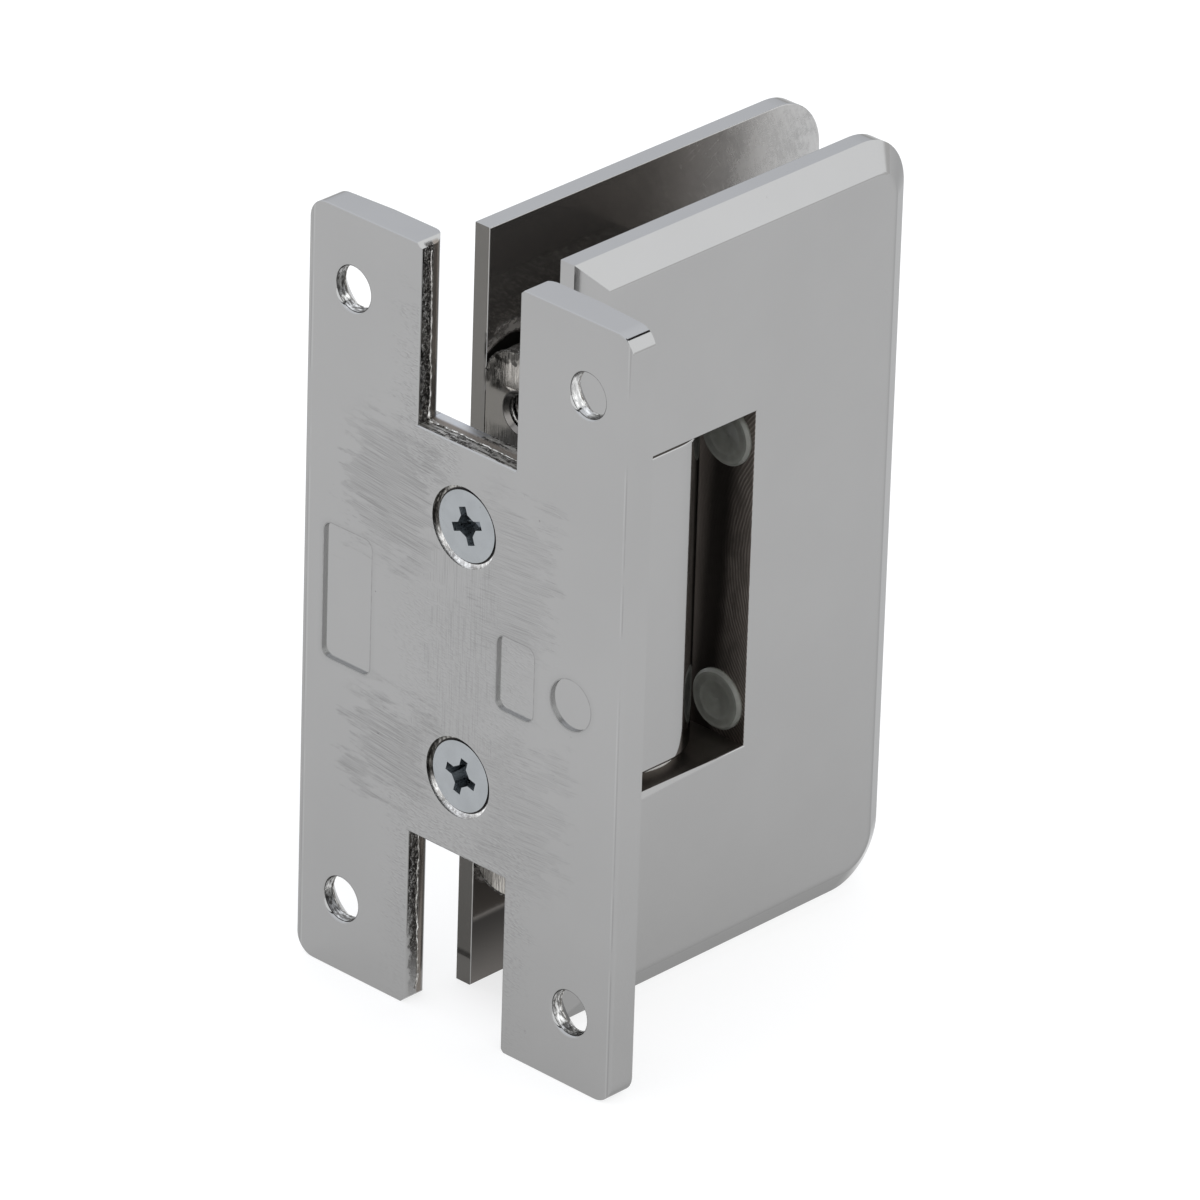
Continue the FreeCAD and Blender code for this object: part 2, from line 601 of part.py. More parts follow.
def countersunk_screw(body, head, thread, total):
    """Screw with its axis on Z, its flat top at Z = 0 and its tip below."""
    half = sketch_on(body, "ScrewProfile", "XZ_Plane")
    rim, shank = f"{head} / 2", f"{thread} / 2"
    neck = f"-(head_land + {rim} - {shank})"
    outline(half, [
        (None, None), (rim, None), (rim, "-head_land"), (shank, neck),
        (shank, f"screw_tip - {total}"), (f"{shank} - screw_tip", f"-{total}"), (None, f"-{total}"),
    ])
    return revolve(body, half, "ScrewSolid")


def make_block_screw(name, level, turn):
    """Cross-recess countersunk screw that holds the pivot block to the crossbar."""
    body = new_body(name)
    countersunk_screw(body, "block_head", "thread_width", "block_screw_long")
    for part, (wide, tall) in enumerate((("cross_across", "cross_slot"), ("cross_slot", "cross_across"))):
        slot = sketch_on(body, f"CrossSlot{part}", "XY_Plane")
        rectangle(slot, f"-{wide} / 2", f"{wide} / 2", f"-{tall} / 2", f"{tall} / 2")
        pocket(body, slot, f"CrossCut{part}", "cross_deep", taper="-cross_taper")
    core = sketch_on(body, "CrossCore", "XY_Plane")
    outline(core, [("cross_core", None), (None, "cross_core"), ("-cross_core", None), (None, "-cross_core")])
    pocket(body, core, "CrossCoreCut", "cross_deep", taper="-cross_taper")
    lay_down = Rotation(Vector(1, 0, 0), 90)
    place(body, y="block_head_sunk", z=f"{level}block_screw_up",
          turn=lay_down.multiply(Rotation(Vector(0, 0, 1), value(turn))))
    return body


def make_clamp_screw(name, height):
    """Countersunk socket screw through the cover half into the boss."""
    body = new_body(name)
    countersunk_screw(body, "clamp_head", "clamp_thread", "clamp_screw_long")
    socket = sketch_on(body, "Socket", "XY_Plane")
    hexagon(socket, "clamp_hex")
    pocket(body, socket, "SocketCut", "clamp_hex_deep")
    place(body, x="-clamp_screw_top", y="clamp_screw_line", z=height, turn=Rotation(Vector(0, 1, 0), -90))
    return body


def make_set_screw(name, level):
    """Socket set screw that locks the pin in the boss."""
    body = new_body(name)
    rod = sketch_on(body, "SetScrewSection", "XY_Plane")
    circle(rod, None, None, "thread_width / 2")
    solid = pad(body, rod, "SetScrewRod", "set_screw_long", reverse=True)
    rim = math.pi * value("thread_width")
    chamfer(body, solid, "SetScrewEnds", lambda e: near(e.Length, rim), "screw_tip")
    socket = sketch_on(body, "Socket", "XY_Plane")
    hexagon(socket, "hex_across")
    pocket(body, socket, "SocketCut", "hex_deep")
    place(body, y="set_screw_tip - set_screw_long", z=f"{level}set_screw_line",
          turn=Rotation(Vector(1, 0, 0), 90))
    return body


def make_pressure_pad():
    """Block that the springs press against the pin's flats."""
    body = new_body("pressure_pad")
    face = sketch_on(body, "PadFace", "XZ_Plane", "-pad_face")
    rectangle(face, "-pad_across / 2", "pad_across / 2", "-pad_up / 2", "pad_up / 2")
    solid = pad(body, face, "PadSolid", "pad_thick")
    fillet(body, solid, "PadEdges", lambda e: along(e, "y"), "pad_corner")
    seats = sketch_on(body, "SpringSeats", "XZ_Plane", "-pad_back")
    for level in ("-", ""):
        circle(seats, None, f"{level}spring_up", "spring_width / 2 + seat_spare")
    pocket(body, seats, "SpringSeatCut", "spring_seat")
    return body


def make_spring(name, level):
    """Compression spring with flat ground ends, between the wall plate and the pad."""
    wire, turns = value("spring_wire"), value("spring_turns")
    mean, length = value("(spring_width - spring_wire) / 2"), value("spring_long")
    coil = Part.makeHelix(length / turns, length + wire, mean)
    coil.translate(Vector(0, 0, -wire / 2))
    first = Vector(mean, 0, -wire / 2)
    corners = []
    for side in range(WIRE_SIDES):
        turn = 2 * math.pi * side / WIRE_SIDES
        corners.append(first + Vector(math.cos(turn), 0, math.sin(turn)) * (wire / 2))
    section = Part.makePolygon(corners + corners[:1])
    solid = Part.Wire(coil.Edges).makePipeShell([section], True, True)
    ground = Part.makeCylinder(mean + wire, length)
    spring = doc.addObject("Part::Feature", name)
    spring.Label = name
    spring.Shape = solid.common(ground)
    spring.Placement = FreeCAD.Placement(Vector(), Rotation(Vector(1, 0, 0), -90))
    place_on = {"x": "0", "y": "plate_thick", "z": f"{level}spring_up"}
    for axis, formula in place_on.items():
        spring.setExpression(f"Placement.Base.{axis}", bound(formula))
    doc.recompute()
    return spring


def make_thrust_washer(name, level):
    """Plain washer between the block's end and the notch's end wall."""
    body = new_body(name)
    ring = sketch_on(body, "WasherRing", "XY_Plane")
    circle(ring, None, None, "washer_width / 2")
    circle(ring, None, None, "pin_width / 2 + fixed_gap")
    pad(body, ring, "WasherSolid", "washer_thick", reverse=level == "")
    place(body, y="pin_axis", z=f"{level}notch_half")
    return body


def make_bumper(name, side, level):
    """Soft button with a dished face, pressed into the far wall of the notch."""
    body = new_body(name)
    half = sketch_on(body, "ButtonProfile", "XZ_Plane")
    edge, foot = "bumper_width / 2", "-(bumper_seat + bumper_proud)"
    outline(half, [
        (None, "-bumper_dip"), ("bumper_dish / 2", None), (f"{edge} - bumper_break", None),
        (edge, "-bumper_break"), (edge, foot), (None, foot),
    ])
    revolve(body, half, "Button")
    place(body, x=f"{side}bumper_place", y="notch_far - bumper_proud", z=f"{level}bumper_up",
          turn=Rotation(Vector(1, 0, 0), 90))
    return body


PARTS = [
    make_wall_plate(),
    make_pivot_block(),
    make_block_screw("block_screw_upper", "", "upper_cross_turn"),
    make_block_screw("block_screw_lower", "-", "lower_cross_turn"),
    make_pressure_pad(),
    make_spring("spring_upper", ""),
    make_spring("spring_lower", "-"),
    make_front_clamp(),
    make_rear_clamp(),
    make_pivot_pin(),
    make_set_screw("set_screw_upper", ""),
    make_set_screw("set_screw_lower", "-"),
    make_clamp_screw("clamp_screw_1", "arm_screw_up"),
    make_clamp_screw("clamp_screw_2", "web_screw_up"),
    make_clamp_screw("clamp_screw_3", "-web_screw_up"),
    make_clamp_screw("clamp_screw_4", "-arm_screw_up"),
    make_thrust_washer("thrust_washer_upper", ""),
    make_thrust_washer("thrust_washer_lower", "-"),
    make_bumper("bumper_front_upper", "", ""),
    make_bumper("bumper_front_lower", "", "-"),
    make_bumper("bumper_rear_upper", "-", ""),
    make_bumper("bumper_rear_lower", "-", "-"),
]

doc.recompute()
for item in doc.Objects:
    if "Invalid" in item.State or "Error" in item.State:
        raise RuntimeError(f"{item.Label} did not compute: {item.State}")
os.makedirs("parts", exist_ok=True)
for part in PARTS:
    if part.Shape.isNull() or not part.Shape.isValid() or not part.Shape.Solids:
        raise RuntimeError(f"{part.Label} has no valid solid")
    print(f"{part.Label}: {len(part.Shape.Solids)} solid, {part.Shape.Volume:.1f} mm3")
for part in PARTS:
    part.Shape.exportStep(f"parts/{part.Label}.step")
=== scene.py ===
"""Looks for the glass door hinge: plated castings, steel screws and soft bumpers in a pale studio.

Metres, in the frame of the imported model: Z up, Y from the wall into the door, X across the wall plate.
Materials and added pieces are laid out in millimetres in the same frame.
"""

import json
import math

import bpy
from mathutils import Euler, Matrix, Vector, noise

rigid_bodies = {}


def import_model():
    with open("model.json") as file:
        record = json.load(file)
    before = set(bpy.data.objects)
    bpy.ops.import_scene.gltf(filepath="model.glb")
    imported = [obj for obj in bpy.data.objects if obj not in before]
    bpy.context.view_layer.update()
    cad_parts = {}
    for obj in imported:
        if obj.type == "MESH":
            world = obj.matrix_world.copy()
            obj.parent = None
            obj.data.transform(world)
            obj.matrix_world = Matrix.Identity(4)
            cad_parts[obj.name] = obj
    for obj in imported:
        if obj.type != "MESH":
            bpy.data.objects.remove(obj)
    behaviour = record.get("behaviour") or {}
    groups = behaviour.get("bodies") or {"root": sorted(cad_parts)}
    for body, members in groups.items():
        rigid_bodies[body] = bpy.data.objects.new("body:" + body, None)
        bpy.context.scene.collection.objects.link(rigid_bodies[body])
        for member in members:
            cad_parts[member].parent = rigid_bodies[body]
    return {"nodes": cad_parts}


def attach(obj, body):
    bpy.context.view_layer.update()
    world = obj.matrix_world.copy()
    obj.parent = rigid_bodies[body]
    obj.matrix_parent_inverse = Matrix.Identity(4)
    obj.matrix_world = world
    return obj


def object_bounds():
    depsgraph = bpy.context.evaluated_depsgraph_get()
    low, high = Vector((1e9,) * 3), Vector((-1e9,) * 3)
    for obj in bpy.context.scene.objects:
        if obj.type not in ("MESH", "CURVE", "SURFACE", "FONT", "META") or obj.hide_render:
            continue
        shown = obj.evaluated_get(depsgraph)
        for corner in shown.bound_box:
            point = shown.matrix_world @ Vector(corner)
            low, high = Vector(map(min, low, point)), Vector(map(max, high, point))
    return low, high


MM = 0.001

for leftover in list(bpy.data.objects):
    bpy.data.objects.remove(leftover)

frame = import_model()
cad_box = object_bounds()
nodes = frame["nodes"]

CAMERA_PLACE = Vector((0.77105, -0.80271, 0.58532))
CAMERA_AZIMUTH = math.radians(43.107)
CAMERA_ELEVATION = math.radians(27.466)
CAMERA_ROLL = math.radians(1.795)
CAMERA_LENS = 360.3
SENSOR = 36.0

WALL_LIGHT = (1.0, 1.0, 1.0)
CEILING_LIGHT = (1.27, 1.305, 1.375)
SOFTBOX_LIGHT = (1.56, 1.58, 1.60)
GAP_LIGHT = (0.03, 0.03, 0.03)
WALL_TO, CEILING_FROM = -95.0, -75.0
GAP_FROM, GAP_TO = 8.0, 18.5
SOFTBOX_TO, WALL_FROM = 105.0, 125.0
HORIZON_FADE, HORIZON_WHITE = 0.10, 0.04
FLOOR_ALBEDO = 0.30
FLOOR_BOOST = 0.74

NICKEL = (0.362, 0.361, 0.358)
EDGE_SHINE = (0.60, 0.60, 0.60)
CAST_DARK = (0.045, 0.042, 0.039)
CAST_LIGHT = (0.50, 0.49, 0.47)
CAST_BROWN = (0.230, 0.205, 0.183)
SKIN_DARK, SKIN_WORN = (0.085, 0.080, 0.074), (0.42, 0.41, 0.39)
FLASH_DARK, FLASH_WORN = (0.20, 0.188, 0.172), (0.70, 0.69, 0.67)
BED_FAR = (0.47, 0.48, 0.50)
PANEL_WALL_PAINTED_LIGHT = (0.56, 0.56, 0.555)
BORE_SHADE, BORE_LIT, BORE_WORN = (0.13, 0.126, 0.120), (0.42, 0.42, 0.415), (0.76, 0.76, 0.75)
SEAT_ROOT_SHADE = (0.03, 0.029, 0.028)
SEAT_UPPER_SHADE, SEAT_UPPER_SHADE_WORN = (0.12, 0.116, 0.108), (0.44, 0.43, 0.41)
SEAT_LOWER_LIT, SEAT_LOWER_LIT_WORN = (0.62, 0.61, 0.60), (0.95, 0.95, 0.94)
NOTCH_SHADED_DEEP, NOTCH_SHADED_PALE = (0.150, 0.130, 0.117), (0.235, 0.210, 0.190)
BOSS_SIDE = (0.46, 0.44, 0.41)
MOUTH_SHADE = (0.20, 0.19, 0.18)
INNER_DARK_REFLECTION = (0.385, 0.356, 0.330)
BOSS_REFLECTION_PALE = (0.55, 0.52, 0.49)
NEAR_END = (0.410, 0.395, 0.373)
STEEL = (0.345, 0.362, 0.374)
BRASS = (0.56, 0.42, 0.20)
WASHER = (0.70, 0.69, 0.66)
BUMPER = (0.200, 0.202, 0.182)
BUMPER_RIM = (0.250, 0.252, 0.228)

HALF_GAP = 5.05
LEG_GAP_SIDE = 7.15
CROSSBAR_END = 24.1
LEG_END = 45.0
BOSS_END = 32.0
BOSS_NEAR = 8.0
BOSS_FAR = 36.4
BOSS_ROUND = 4.2
BOSS_BEND = math.radians(78.0)
FIXING_ACROSS, FIXING_LEVEL = 17.0, 36.3
FIXINGS = [(side * FIXING_ACROSS, level * FIXING_LEVEL) for side in (-1, 1) for level in (-1, 1)]
FIXING_RADIUS = 2.55
FLASH_DEPTH = 1.75
HOLE_FLASH_DEPTH = 1.5
BUMPER_ACROSS, BUMPER_LEVEL = 5.2, 15.8
BUMPER_RADIUS = 3.0
SCREW_LEVEL = 14.8
SEAT_RADIUS, SEAT_ROOT_RADIUS, SEAT_DEPTH = 4.70, 4.22, 0.50
PANELS = [(-16.9, 3.55, 8.0, 1.1), (7.9, 2.7, 4.35, 1.1), (15.95, 2.9, 2.9, 2.9)]
PANEL_DEPTH = 0.40
EDGE_HIGHLIGHT_SPAN, EDGE_SHADE_SPAN = (22.66, 22.76), (22.92, 23.00)
SET_SCREW_LEVEL = 25.3
SET_THREAD_RADIUS = 2.05
SET_THREAD_PITCH = 0.7
SET_THREAD_SIZE = 0.20
SET_THREAD_FROM, SET_THREAD_TO = 8.5, 12.6
NOTCH_FAR = 34.4
NOTCH_END = 19.95
MILLING_PITCH = 0.40
TURN_STEPS, RING_STEPS = 40, 60


class Nodes:
    """A node tree under construction; its sums and masks are sockets."""

    def __init__(self, owner):
        owner.use_nodes = True
        self.tree = owner.node_tree
        self.tree.nodes.clear()

    def node(self, kind, inputs=None, **settings):
        made = self.tree.nodes.new(kind)
        for name, setting in settings.items():
            setattr(made, name, setting)
        for key, source in (inputs or {}).items():
            self.feed(made.inputs[key], source)
        return made

    def feed(self, socket, source):
        if isinstance(source, bpy.types.NodeSocket):
            self.tree.links.new(source, socket)
        else:
            socket.default_value = source

    def math(self, operation, a, b=0.0, c=0.0):
        return self.node("ShaderNodeMath", {0: a, 1: b, 2: c}, operation=operation).outputs[0]

    def size(self, value):
        return self.math("ABSOLUTE", value)

    def less(self, value):
        """One minus the value."""
        return self.math("SUBTRACT", 1.0, value)

    def chain(self, operation, values):
        result = values[0]
        for value in values[1:]:
            result = self.math(operation, result, value)
        return result

    def times(self, *values):
        return self.chain("MULTIPLY", values)

    def plus(self, *values):
        return self.chain("ADD", values)

    def most(self, *values):
        return self.chain("MAXIMUM", values)

    def least(self, *values):
        return self.chain("MINIMUM", values)

    def reach(self, across, up):
        """Distance from a middle that lies that far across and up."""
        return self.math("SQRT", self.plus(self.math("POWER", across, 2.0), self.math("POWER", up, 2.0)))

    def ramp(self, value, low, high, out_low=0.0, out_high=1.0):
        return self.node("ShaderNodeMapRange", {
            "Value": value, "From Min": low, "From Max": high, "To Min": out_low, "To Max": out_high,
        }, interpolation_type="SMOOTHSTEP").outputs[0]

    def window(self, value, low, high, fade):
        """1 between low and high, falling to 0 over the fade on both sides."""
        return self.times(self.ramp(value, low - fade, low), self.ramp(value, high + fade, high))

    def blend(self, amount, first, second):
        made = self.node("ShaderNodeMix", {0: amount}, data_type="RGBA")
        for socket, colour in ((made.inputs[6], first), (made.inputs[7], second)):
            self.feed(socket, colour if isinstance(colour, bpy.types.NodeSocket) else (*colour, 1.0))
        return made.outputs[2]


class Shader(Nodes):
    """A material for a piece, laid out in millimetres."""

    def __init__(self, name):
        self.material = bpy.data.materials.new(name)
        super().__init__(self.material)
        coordinates = self.node("ShaderNodeTexCoord").outputs
        scaled = self.node("ShaderNodeVectorMath", {0: coordinates["Object"], "Scale": 1.0 / MM},
                           operation="SCALE")
        self.place = scaled.outputs[0]
        self.x, self.y, self.z = self.node("ShaderNodeSeparateXYZ", {0: self.place}).outputs
        self.facing = self.node("ShaderNodeSeparateXYZ", {0: coordinates["Normal"]}).outputs

    def faces(self, axis, sign, limit=0.9):
        """1 on surfaces that face along the axis; sign 0 takes both ways."""
        side = self.facing["xyz".index(axis)]
        side = self.size(side) if sign == 0 else self.times(side, float(sign))
        return self.ramp(side, limit - 0.05, limit)

    def grain(self, size, turn=(0.0, 0.0, 0.0), detail=3.0, roughness=0.55, shift=(0.0, 0.0, 0.0)):
        """Noise whose spots have the given size in millimetres along each turned axis."""
        laid = self.node("ShaderNodeMapping", {"Vector": self.place, "Scale": size, "Rotation": turn,
                                               "Location": shift}, vector_type="TEXTURE")
        made = self.node("ShaderNodeTexNoise", {"Vector": laid.outputs[0], "Scale": 1.0, "Detail": detail,
                                                "Roughness": roughness})
        return made.outputs["Fac"]

    def pits(self, size, share, radius):
        """Sparse round spots: 1 inside a spot. Share is the part of the cells that has one."""
        cells = self.node("ShaderNodeTexVoronoi", {"Vector": self.place, "Scale": 1.0 / size})
        chosen = self.node("ShaderNodeSeparateColor", {0: cells.outputs["Color"]}).outputs[0]
        return self.times(self.ramp(cells.outputs["Distance"], radius, radius * 0.5),
                          self.math("LESS_THAN", chosen, share))

    def rounded_box(self, across, half_across, half_up, corner):
        """Distance from a rounded rectangle that lies so far across, at mid-height; below 0 inside."""
        sides = [self.most(self.plus(self.size(self.plus(place, -middle)), corner - half), 0.0)
                 for place, middle, half in ((self.x, across, half_across), (self.z, 0.0, half_up))]
        return self.plus(self.reach(*sides), -corner)

    def toned(self, colour, tone):
        """The colour made darker or lighter by the tone."""
        made = self.node("ShaderNodeVectorMath", {0: colour, "Scale": tone}, operation="SCALE")
        return made.outputs[0]

    def relief(self, height):
        """A normal from heights in millimetres."""
        return self.node("ShaderNodeBump", {"Height": height, "Distance": MM}).outputs[0]

    def principled(self, **inputs):
        made = self.node("ShaderNodeBsdfPrincipled")
        for name, source in inputs.items():
            colour = isinstance(source, tuple) and name.endswith(("Color", "Tint"))
            self.feed(made.inputs[name.replace("_", " ")], (*source, 1.0) if colour else source)
        self.node("ShaderNodeOutputMaterial", {"Surface": made.outputs[0]})
        return self.material


def plate_waves(s):
    """Heights of the slow waves and the fine peel that polishing leaves."""
    return s.plus(s.times(s.grain((22.0, 22.0, 22.0), detail=1.0), 0.02),
                  s.times(s.grain((0.9, 0.9, 0.9), detail=1.0), 0.0006))


def polish_clouds_and_low_shade(s):
    """Faint clouds in the polish, and painted shade that makes the lower end slightly darker."""
    return s.times(s.ramp(s.grain((14.0, 14.0, 14.0), detail=4.0), 0.3, 0.7, 0.985, 1.01),
                   s.ramp(s.z, -50.0, 5.0, 0.93, 1.0))


def wall_plate_look():
    """Polished back, sanded and streaked, with three panels whose walls are painted paler, worn seats and
    bores painted with light and shade, painted edge lines and raw cast walls.
    """
    s = Shader("wall_plate_look")
    back = s.faces("y", -1)
    edge = s.ramp(s.grain((6.0, 6.0, 1.6), detail=4.0, roughness=0.7), 0.3, 0.7, -3.5, 3.5)
    across, up = s.plus(s.x, edge), s.plus(s.z, edge)
    upper_left = s.times(s.window(across, -15.0, -6.0, 2.5), s.window(up, 10.5, 20.0, 5.0))
    lower_left = s.times(s.window(across, -14.0, -6.0, 3.0), s.window(up, -18.5, -11.0, 3.5))
    right = s.times(s.window(across, 3.0, 11.0, 3.0), s.window(up, 5.0, 18.0, 4.0))
    lower_right = s.times(s.window(across, 5.0, 13.0, 3.0), s.window(up, -22.0, -10.0, 4.0))
    left_sanded = s.times(s.most(upper_left, lower_left), back)
    right_sanded = s.times(s.most(s.times(right, 0.7), s.times(lower_right, 0.6)), back)
    sanded = s.most(left_sanded, right_sanded)
    steep = s.ramp(s.grain((6.0, 4.0, 0.085), (0.0, math.radians(6.0), 0.0), detail=2.0), 0.46, 0.62)
    level = s.ramp(s.grain((6.0, 4.0, 0.09), (0.0, math.radians(-4.0), 0.0), detail=2.0), 0.49, 0.65)
    lines = s.plus(s.times(steep, left_sanded), s.times(level, right_sanded))
    bright = s.ramp(s.grain((5.0, 4.0, 0.10), (0.0, math.radians(6.0), 0.0), detail=2.0,
                            shift=(3.0, 0.0, 1.0)), 0.56, 0.68)
    strip = s.times(s.window(across, -3.5, 3.5, 2.0), s.window(up, -11.0, 12.0, 4.0), back)
    brushed = s.ramp(s.grain((0.16, 4.0, 6.0), detail=2.0), 0.45, 0.7)
    beside = s.times(s.ramp(s.plus(s.size(s.x), s.times(edge, 0.6)), 12.0, 7.3),
                     s.ramp(s.z, -44.0, -30.0, 0.35, 1.0))
    upper_peel = s.times(s.window(up, 22.0, 33.0, 7.0), s.ramp(s.x, 0.0, -2.0))
    lower_peel = s.ramp(up, -14.0, -24.0)
    peel = s.times(beside, s.most(upper_peel, lower_peel, s.times(s.window(up, -16.0, 2.0, 6.0), 0.5)), back)
    bump_size, bump_turn = (0.75, 0.42, 0.19), (0.0, 0.12, 0.0)
    bumps = s.ramp(s.grain(bump_size, bump_turn, detail=2.0), 0.47, 0.62)
    glints = s.ramp(s.grain(bump_size, bump_turn, detail=2.0, shift=(0.10, 0.0, 0.09)), 0.56, 0.68)
    dots = s.times(s.pits(2.6, 0.45, 0.035), back)
    nicks = s.times(s.pits(5.0, 0.25, 0.05), s.ramp(s.grain((1.2, 1.2, 0.5)), 0.45, 0.55), back)
    faint = s.times(back, s.ramp(s.grain((3.0, 3.0, 8.0)), 0.35, 0.55))
    # painted highlight and painted shade: broken light and dark lines just inside the side edges of the back
    edge_highlight_line = s.times(faint, s.window(s.size(s.x), *EDGE_HIGHLIGHT_SPAN, 0.09))
    edge_shade_line = s.times(faint, s.window(s.size(s.x), *EDGE_SHADE_SPAN, 0.09))

    outline = s.least(*[s.rounded_box(*panel) for panel in PANELS])
    flush = s.times(back, s.ramp(s.y, 0.1, 0.05))
    rim_line = s.times(flush, s.window(outline, 0.03, 0.10, 0.07),
                       s.ramp(s.grain((0.8, 0.8, 0.8), detail=3.0), 0.35, 0.55, 0.35, 1.0))
    rim_soft = s.times(flush, s.ramp(outline, 0.9, 0.0))
    panel_wall = s.times(s.less(back), s.window(outline, -0.05, 0.05, 0.05),
                         s.ramp(s.y, PANEL_DEPTH, PANEL_DEPTH - 0.04))

    open_side = s.ramp(s.size(s.x), 7.6, 7.3)
    side = s.times(open_side, s.ramp(s.size(s.z), 23.9, 24.0), s.less(back))
    bed = s.times(s.faces("z", 0), s.window(s.size(s.z), 23.0, 24.5, 0.5), open_side)
    bed_far = s.times(bed, s.ramp(across, -2.4, -3.0), s.ramp(s.y, FLASH_DEPTH, FLASH_DEPTH + 0.2))
    bed_line = s.times(bed, s.window(s.y, 0.42, 0.50, 0.08))
    ragged = s.plus(s.y, s.ramp(s.grain((0.7, 0.7, 0.9), detail=3.0), 0.3, 0.7, -0.3, 0.3))
    skin = s.times(side, s.ramp(ragged, 0.40, 0.95), s.ramp(s.y, FLASH_DEPTH + 0.25, FLASH_DEPTH),
                   s.ramp(s.z, -45.0, -37.0, 0.15, 1.0))
    bore_reach = s.reach(s.plus(s.size(s.x), -FIXING_ACROSS), s.plus(s.size(s.z), -FIXING_LEVEL))
    bore = s.times(s.ramp(bore_reach, FIXING_RADIUS + 0.15, FIXING_RADIUS + 0.05),
                   s.ramp(ragged, 0.3, 0.6), s.ramp(s.y, HOLE_FLASH_DEPTH + 0.2, HOLE_FLASH_DEPTH))
    seat_reach = s.reach(s.x, s.plus(s.size(s.z), -SCREW_LEVEL))
    seat = s.times(s.ramp(seat_reach, SEAT_RADIUS + 0.08, SEAT_RADIUS), s.ramp(s.y, 0.02, 0.06))
    height_on_seat = s.math("WRAP", s.plus(s.z, 2.0 * SCREW_LEVEL), 2.0 * SCREW_LEVEL, 0.0)
    below = s.ramp(height_on_seat, SCREW_LEVEL - 0.5, SCREW_LEVEL - 2.8)
    # painted shade: a dark line at the root of each seat beside the screw head, and a dark painted strip on
    # the seat wall in its upper part
    seat_root_shade = s.most(s.times(seat, s.ramp(s.y, SEAT_DEPTH, SEAT_DEPTH + 0.05),
                               s.ramp(seat_reach, SEAT_ROOT_RADIUS + 0.10, SEAT_ROOT_RADIUS)),
                       s.times(seat, s.less(back), s.window(s.y, 0.26, 0.44, 0.08), s.less(below), 0.85))
    seat_worn = s.ramp(s.grain((0.35, 0.30, 0.9), detail=3.0, roughness=0.7), 0.42, 0.60)
    raw = s.most(skin, bed)
    smooth = s.times(side, s.ramp(s.y, FLASH_DEPTH, FLASH_DEPTH + 0.25), s.ramp(s.y, 3.0, 2.5))
    grit = s.ramp(s.grain((0.22, 0.22, 0.26), detail=3.0, roughness=0.8), 0.49, 0.66)
    smear = s.ramp(s.grain((2.4, 0.45, 1.6), detail=3.0, roughness=0.7), 0.46, 0.56)

    colour = s.blend(raw, NICKEL, s.blend(s.most(grit, s.times(smear, bed)), CAST_DARK, CAST_LIGHT))
    colour = s.blend(s.times(bed_far, s.ramp(smear, 1.0, 0.0, 0.5, 1.0)), colour, BED_FAR)
    colour = s.blend(smooth, colour, CAST_BROWN)
    # painted light: the walls of the panel recesses are painted paler than the plated face
    colour = s.blend(panel_wall, colour, PANEL_WALL_PAINTED_LIGHT)
    bore_worn = s.ramp(s.grain((0.8, 0.35, 0.8), detail=3.0, roughness=0.6), 0.38, 0.66)
    # painted light and shade in the fixing bores: the upper right bore is painted lit, the other three
    # painted shaded, with wear over both
    bore_lit_and_shaded = s.blend(s.times(s.ramp(s.z, -1.0, 1.0), s.ramp(s.x, -1.0, 1.0)), BORE_SHADE, BORE_LIT)
    colour = s.blend(bore, colour, s.blend(bore_worn, bore_lit_and_shaded, BORE_WORN))
    # painted shade on the upper part of each seat and painted light on its lower part, with wear over both
    ring = s.blend(below, s.blend(seat_worn, SEAT_UPPER_SHADE, SEAT_UPPER_SHADE_WORN),
                   s.blend(seat_worn, SEAT_LOWER_LIT, SEAT_LOWER_LIT_WORN))
    colour = s.blend(seat_root_shade, s.blend(seat, colour, ring), SEAT_ROOT_SHADE)
    tone = s.times(polish_clouds_and_low_shade(s),
                   s.less(s.times(lines, 0.24)), s.plus(1.0, s.times(bright, sanded, 0.14)),
                   s.less(s.times(sanded, 0.05)),
                   s.less(s.times(brushed, strip, 0.12)), s.less(s.times(bumps, peel, 0.17)),
                   s.plus(1.0, s.times(glints, peel, 0.16)),
                   s.plus(1.0, s.times(edge_highlight_line, 0.10)), s.less(s.times(edge_shade_line, 0.14)),
                   s.less(s.times(rim_line, 0.20)), s.less(s.times(bed_line, 0.6)),
                   s.less(s.times(rim_soft, 0.05)),
                   s.less(s.times(dots, 0.6)), s.less(s.times(nicks, 0.5)))
    height = s.plus(plate_waves(s), s.times(lines, -0.006), s.times(bumps, peel, 0.007),
                    s.times(dots, -0.03), s.times(raw, grit, s.less(bed_far), 0.07))
    rough = s.plus(0.07, s.times(sanded, 0.10), s.times(strip, 0.08), s.times(raw, 0.28), s.times(bore, 0.20),
                   s.times(smooth, 0.14), s.times(seat, 0.20), s.times(panel_wall, 0.30))
    return s.principled(Base_Color=s.toned(colour, tone), Metallic=s.less(s.times(smooth, 0.3)),
                        Roughness=rough, Specular_Tint=EDGE_SHINE, Normal=s.relief(height))


def block_look():
    """Polished pivot block, its hidden ends left a little duller, and painted shade darkening it toward its
    foot.
    """
    s = Shader("pivot_block_look")
    ends = s.faces("z", 0)
    turned = s.grain((0.25, 0.25, 6.0), detail=2.0)
    tone = s.times(polish_clouds_and_low_shade(s), s.less(s.times(ends, s.ramp(turned, 0.4, 0.7), 0.25)))
    height = s.plus(plate_waves(s), s.times(turned, ends, 0.01))
    rough = s.plus(0.07, s.times(ends, 0.2))
    return s.principled(Base_Color=s.toned(NICKEL, tone), Metallic=1.0, Roughness=rough,
                        Specular_Tint=EDGE_SHINE, Normal=s.relief(height))


